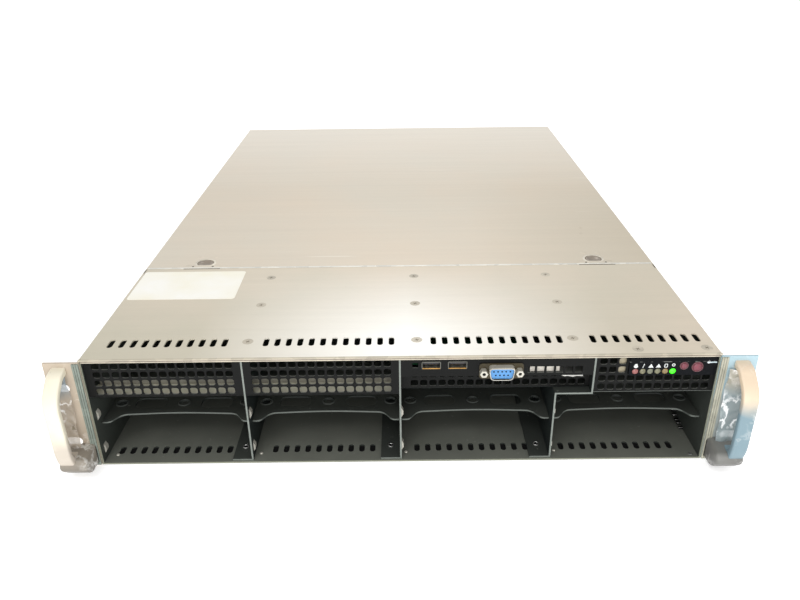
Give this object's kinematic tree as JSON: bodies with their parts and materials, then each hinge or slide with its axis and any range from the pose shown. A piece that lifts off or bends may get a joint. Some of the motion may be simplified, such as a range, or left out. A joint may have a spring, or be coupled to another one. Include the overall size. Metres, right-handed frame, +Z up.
{
  "type": "2u rack server",
  "caption": "Low rack server chassis with open front drive bays, perforated front panels, port tray, D handles on rack ears, sliding rear cover and pull-out power supplies.",
  "frame": {"origin": "middle of the chassis at the rack's mounting plane (the back of the ears), on the underside", "axes": "+X to the right seen from the front, +Y from the front to the rear, +Z up"},
  "size_m": [0.4826, 0.7021, 0.088],
  "materials": {
    "galvanised_cover": "dull galvanised, worn",
    "dark_paint": "satin powder coat",
    "ear_plastic": "under protective film",
    "ear_steel": "satin",
    "bright_steel": "zinc plated",
    "board": "solder mask",
    "black_plastic": "moulded",
    "gloss_black": "glossy moulding",
    "port_blue": "moulded",
    "lens": "clear lens",
    "button_red": "tinted",
    "fin_aluminium": "extruded",
    "shroud": "moulded"
  },
  "bodies": {
    "chassis": {"air_shroud": "shroud", "backplane_board": "board", "bay_springs": "bright_steel", "chassis_tray": "dark_paint", "control_panel_board": "board", "control_panel_housing": "gloss_black", "cpu_heatsinks": "fin_aluminium", "divider_left": "dark_paint", "divider_middle": "dark_paint", "divider_right": "dark_paint", "divider_screws": "bright_steel", "drive_connectors": "black_plastic", "drive_shelves": "dark_paint", "fan_frames": "black_plastic", "fan_wall": "dark_paint", "front_cover": "galvanised_cover", "front_cover_screws": "bright_steel", "front_io_board": "board", "grille_centre": "dark_paint", "grille_left": "dark_paint", "grille_middle": "dark_paint", "grille_right": "dark_paint", "handle_screws": "bright_steel", "io_shield": "bright_steel", "io_tray_panel": "dark_paint", "led_lenses": "lens", "left_ear": "ear_steel", "left_handle": "ear_plastic", "memory_modules": "board", "motherboard": "board", "motherboard_standoffs": "bright_steel", "power_distribution_board": "board", "psu_bay": "dark_paint", "rail_studs": "bright_steel", "rear_ports": "bright_steel", "right_ear": "ear_steel", "right_handle": "ear_plastic", "serial_port_insert": "port_blue", "serial_port_jackscrews": "bright_steel", "serial_port_shell": "bright_steel", "slot_covers": "bright_steel", "usb_port_shells": "bright_steel", "usb_port_tongues": "black_plastic"},
    "rear_cover": {"rear_cover": "galvanised_cover"},
    "left_release_button": {"cover_release_button_left": "galvanised_cover"},
    "right_release_button": {"cover_release_button_right": "galvanised_cover"},
    "power_button": {"power_button": "button_red"},
    "reset_button": {"reset_button": "button_red"},
    "left_fan": {"fan_rotor_left": "black_plastic"},
    "middle_fan": {"fan_rotor_middle": "black_plastic"},
    "right_fan": {"fan_rotor_right": "black_plastic"},
    "lower_supply": {"psu_lower_case": "bright_steel"},
    "lower_bail": {"psu_lower_handle": "bright_steel"},
    "lower_latch": {"psu_lower_latch": "black_plastic"},
    "lower_supply_fan": {"psu_lower_fan": "black_plastic"},
    "upper_supply": {"psu_upper_case": "bright_steel"},
    "upper_bail": {"psu_upper_handle": "bright_steel"},
    "upper_latch": {"psu_upper_latch": "black_plastic"},
    "upper_supply_fan": {"psu_upper_fan": "black_plastic"}
  },
  "joints": [
    {"name": "rear_cover_slide", "type": "slide", "parent": "chassis", "child": "rear_cover", "axis": [0, 1, 0], "range_m": [0, 0.013]},
    {"name": "left_release_press", "type": "slide", "parent": "rear_cover", "child": "left_release_button", "axis": [0, 0, -1], "range_m": [0, 0.002], "stiffness_N_per_m": 400, "springref_m": -0.001},
    {"name": "right_release_press", "type": "slide", "parent": "rear_cover", "child": "right_release_button", "axis": [0, 0, -1], "range_m": [0, 0.002], "stiffness_N_per_m": 400, "springref_m": -0.001},
    {"name": "power_press", "type": "slide", "parent": "chassis", "child": "power_button", "axis": [0, 1, 0], "range_m": [0, 0.0008], "stiffness_N_per_m": 500, "springref_m": -0.0005},
    {"name": "reset_press", "type": "slide", "parent": "chassis", "child": "reset_button", "axis": [0, 1, 0], "range_m": [0, 0.0008], "stiffness_N_per_m": 500, "springref_m": -0.0005},
    {"name": "left_fan_spin", "type": "hinge", "parent": "chassis", "child": "left_fan", "pos_m": [-0.1085, 0.2252, 0.0412], "axis": [0, 1, 0], "continuous": true},
    {"name": "middle_fan_spin", "type": "hinge", "parent": "chassis", "child": "middle_fan", "pos_m": [-0.0035, 0.2252, 0.0412], "axis": [0, 1, 0], "continuous": true},
    {"name": "right_fan_spin", "type": "hinge", "parent": "chassis", "child": "right_fan", "pos_m": [0.1015, 0.2252, 0.0412], "axis": [0, 1, 0], "continuous": true},
    {"name": "lower_supply_slide", "type": "slide", "parent": "chassis", "child": "lower_supply", "axis": [0, 1, 0], "range_m": [0, 0.3]},
    {"name": "lower_bail_fold", "type": "hinge", "parent": "lower_supply", "child": "lower_bail", "pos_m": [0.1709, 0.6525, 0.0376], "axis": [1, 0, 0], "range_deg": [0, 90]},
    {"name": "lower_latch_press", "type": "hinge", "parent": "lower_supply", "child": "lower_latch", "pos_m": [0.1999, 0.6525, 0.0291], "axis": [-1, 0, 0], "range_deg": [0, 12], "stiffness_Nm_per_rad": 0.05, "springref_deg": -5.73},
    {"name": "lower_supply_fan_spin", "type": "hinge", "parent": "lower_supply", "child": "lower_supply_fan", "pos_m": [0.1709, 0.643, 0.0216], "axis": [0, 1, 0], "continuous": true},
    {"name": "upper_supply_slide", "type": "slide", "parent": "chassis", "child": "upper_supply", "axis": [0, 1, 0], "range_m": [0, 0.3]},
    {"name": "upper_bail_fold", "type": "hinge", "parent": "upper_supply", "child": "upper_bail", "pos_m": [0.1709, 0.6525, 0.0796], "axis": [1, 0, 0], "range_deg": [0, 90]},
    {"name": "upper_latch_press", "type": "hinge", "parent": "upper_supply", "child": "upper_latch", "pos_m": [0.1999, 0.6525, 0.0711], "axis": [-1, 0, 0], "range_deg": [0, 12], "stiffness_Nm_per_rad": 0.05, "springref_deg": -5.73},
    {"name": "upper_supply_fan_spin", "type": "hinge", "parent": "upper_supply", "child": "upper_supply_fan", "pos_m": [0.1709, 0.643, 0.0636], "axis": [0, 1, 0], "continuous": true}
  ]
}
